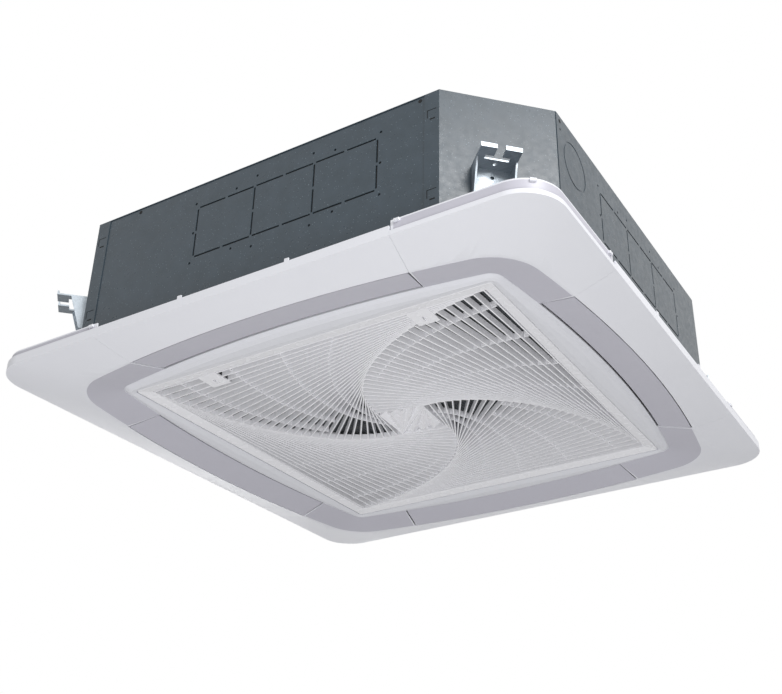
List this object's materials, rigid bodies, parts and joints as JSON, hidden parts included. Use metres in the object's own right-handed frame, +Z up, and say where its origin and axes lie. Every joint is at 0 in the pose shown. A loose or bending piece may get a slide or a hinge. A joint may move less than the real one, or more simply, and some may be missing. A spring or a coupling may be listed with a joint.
{
  "type": "cassette fan coil unit",
  "caption": "Ceiling cassette fan coil unit: folded steel cabinet, square panel with air flaps on each side and a swirl intake grille that hinges down.",
  "frame": {"origin": "below the centre of the unit, at the level of the panel's lowest edge", "axes": "+Z up towards the ceiling void, -Y towards the side with the grille latches, +X to its right"},
  "size_m": [0.95, 0.95, 0.281],
  "materials": {
    "coated_steel": "dark slate powder coat, fine speckle",
    "zinc_steel": "bright zinc plating",
    "galvanised_steel": "galvanised",
    "liner_foam": "black insulation foam",
    "pan_foam": "moulded polystyrene foam",
    "coil_fins": "stacked fins",
    "copper": "drawn copper",
    "brass": "turned brass",
    "pipe_plastic": "drain pipe plastic",
    "dark_plastic": "black moulded plastic",
    "wheel_plastic": "glass-filled plastic",
    "motor_paint": "black paint",
    "rubber": "rubber",
    "steel": "machined steel",
    "panel_white": "fine satin white",
    "flap_grey": "satin light grey",
    "bezel_grey": "satin light grey",
    "grille_grey": "satin light grey",
    "filter_mesh": "woven nylon net",
    "seal_foam": "closed-cell foam"
  },
  "bodies": {
    "cabinet": {"bell_mouth": "dark_plastic", "coil_end_plates": "galvanised_steel", "coil_fins": "coil_fins", "coil_return_bends": "copper", "control_box": "galvanised_steel", "control_box_lid": "galvanised_steel", "corner_cover_back_left": "panel_white", "corner_cover_back_right": "panel_white", "corner_cover_front_left": "panel_white", "corner_cover_front_right": "panel_white", "corner_post_back_left": "coated_steel", "corner_post_back_right": "coated_steel", "corner_post_front_left": "coated_steel", "corner_post_front_right": "coated_steel", "drain_pan": "pan_foam", "drain_pipe": "pipe_plastic", "drain_pump": "dark_plastic", "fan_motor": "motor_paint", "flap_motors": "dark_plastic", "float_stem": "pipe_plastic", "grille_bezel": "bezel_grey", "hanger_bracket_back_left": "zinc_steel", "hanger_bracket_back_right": "zinc_steel", "hanger_bracket_front_left": "zinc_steel", "hanger_bracket_front_right": "zinc_steel", "insulation_liner": "liner_foam", "motor_feet": "rubber", "panel_bolts": "zinc_steel", "panel_frame": "panel_white", "panel_seal": "seal_foam", "panel_tab_back_left": "zinc_steel", "panel_tab_back_right": "zinc_steel", "panel_tab_front_left": "zinc_steel", "panel_tab_front_right": "zinc_steel", "pipe_plate": "coated_steel", "side_panel_back": "coated_steel", "side_panel_front": "coated_steel", "side_panel_left": "coated_steel", "side_panel_right": "coated_steel", "top_plate": "coated_steel", "water_inlet": "brass", "water_outlet": "brass"},
    "fan": {"fan_impeller": "wheel_plastic", "fan_shroud": "wheel_plastic", "fan_shaft": "steel", "wheel_nut": "steel"},
    "front_flap": {"flap_front": "flap_grey"},
    "right_flap": {"flap_right": "flap_grey"},
    "back_flap": {"flap_back": "flap_grey"},
    "left_flap": {"flap_left": "flap_grey"},
    "grille": {"swirl_grille": "grille_grey", "grille_ribs": "grille_grey", "filter_frame": "dark_plastic", "filter_mesh": "filter_mesh"},
    "left_latch": {"grille_latch_left": "grille_grey"},
    "right_latch": {"grille_latch_right": "grille_grey"},
    "float": {"pump_float": "dark_plastic"}
  },
  "joints": [
    {"name": "front_flap_hinge", "type": "hinge", "parent": "cabinet", "child": "front_flap", "pos_m": [0, -0.38, 0.0185], "axis": [1, 0, 0], "range_deg": [0, 55]},
    {"name": "right_flap_hinge", "type": "hinge", "parent": "cabinet", "child": "right_flap", "pos_m": [0.38, 0, 0.0185], "axis": [0, 1, 0], "range_deg": [0, 55]},
    {"name": "back_flap_hinge", "type": "hinge", "parent": "cabinet", "child": "back_flap", "pos_m": [0, 0.38, 0.0185], "axis": [-1, 0, 0], "range_deg": [0, 55]},
    {"name": "left_flap_hinge", "type": "hinge", "parent": "cabinet", "child": "left_flap", "pos_m": [-0.38, 0, 0.0185], "axis": [0, -1, 0], "range_deg": [0, 55]},
    {"name": "grille_hinge", "type": "hinge", "parent": "cabinet", "child": "grille", "pos_m": [0, 0.312, 0.014], "axis": [1, 0, 0], "range_deg": [0, 85]},
    {"name": "left_latch_slide", "type": "slide", "parent": "grille", "child": "left_latch", "axis": [0, -1, 0], "range_m": [0, 0.007]},
    {"name": "right_latch_slide", "type": "slide", "parent": "grille", "child": "right_latch", "axis": [0, -1, 0], "range_m": [0, 0.007]},
    {"name": "fan_spin", "type": "hinge", "parent": "cabinet", "child": "fan", "pos_m": [0, 0, 0.2], "axis": [0, 0, 1], "continuous": true},
    {"name": "float_slide", "type": "slide", "parent": "cabinet", "child": "float", "axis": [0, 0, 1], "range_m": [0, 0.012]}
  ]
}
